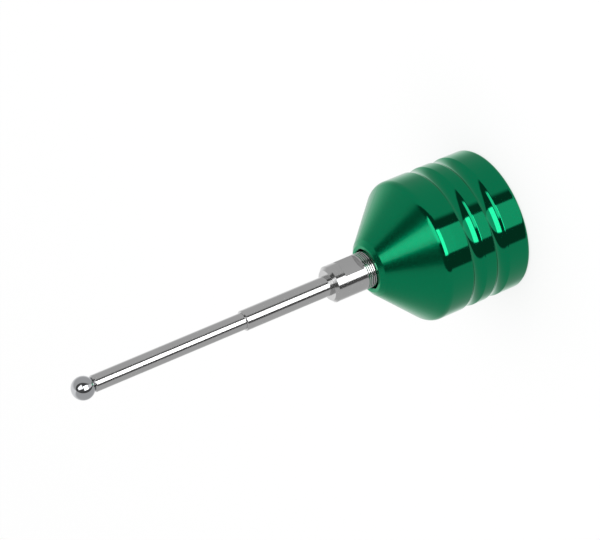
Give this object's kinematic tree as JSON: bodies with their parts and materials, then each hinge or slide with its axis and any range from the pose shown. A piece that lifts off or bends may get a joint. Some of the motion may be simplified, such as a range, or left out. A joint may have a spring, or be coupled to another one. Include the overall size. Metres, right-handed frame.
{
  "type": "edge finder",
  "caption": "Spring-centred stylus edge finder: turned anodised body with grip grooves, steel stylus and ball that tilt about two axes and push back.",
  "frame": {"origin": "middle of the body's flat back face, on the body's axis", "axes": "+Z along the body's axis towards the ball; the outer gimbal pins lie along X and the inner ones along Y"},
  "size_m": [0.05, 0.05, 0.1625],
  "materials": {
    "green_anodised": "bright anodised, fine turned",
    "clear_anodised": "clear anodised, fine turned",
    "stainless": "fine turned and ground",
    "stainless_rod": "centreless ground",
    "polished_ball": "polished",
    "ground_steel": "ground",
    "pin_steel": "hardened and ground",
    "spring_steel": "drawn wire",
    "screw_steel": "stainless, plain",
    "bronze": "sintered bronze",
    "black_rubber": "matt"
  },
  "bodies": {
    "body": {"housing": "green_anodised", "rear_cover": "clear_anodised", "cover_screws": "screw_steel", "cover_seal": "black_rubber", "bearing_ring": "ground_steel", "lock_ring": "ground_steel", "outer_pin_1": "pin_steel", "outer_pin_2": "pin_steel", "front_seal": "black_rubber", "seal_retainer": "clear_anodised", "centring_spring": "spring_steel"},
    "gimbal": {"gimbal_ring": "ground_steel", "inner_pin_1": "pin_steel", "inner_pin_2": "pin_steel"},
    "carrier": {"carrier": "clear_anodised", "spring_plate": "ground_steel", "upper_bush": "bronze", "lower_bush": "bronze", "guide_pin": "pin_steel", "overtravel_spring": "spring_steel"},
    "stylus": {"spindle": "ground_steel", "stop_washer": "ground_steel", "spindle_nut": "screw_steel", "stylus_holder": "stainless", "stylus_rod": "stainless_rod", "ball": "polished_ball"}
  },
  "joints": [
    {"name": "tilt_x", "type": "hinge", "parent": "body", "child": "gimbal", "pos_m": [0, 0, 0.03], "axis": [1, 0, 0], "range_deg": [-1.2, 1.2], "stiffness_Nm_per_rad": 5, "deforming": ["centring_spring", "front_seal"]},
    {"name": "tilt_y", "type": "hinge", "parent": "gimbal", "child": "carrier", "pos_m": [0, 0, 0.03], "axis": [0, 1, 0], "range_deg": [-1.2, 1.2], "stiffness_Nm_per_rad": 5, "deforming": ["centring_spring", "front_seal"]},
    {"name": "push", "type": "slide", "parent": "carrier", "child": "stylus", "axis": [0, 0, 1], "range_m": [-0.003, 0], "stiffness_N_per_m": 1500, "springref_m": 0.003, "deforming": ["overtravel_spring", "front_seal"]}
  ]
}
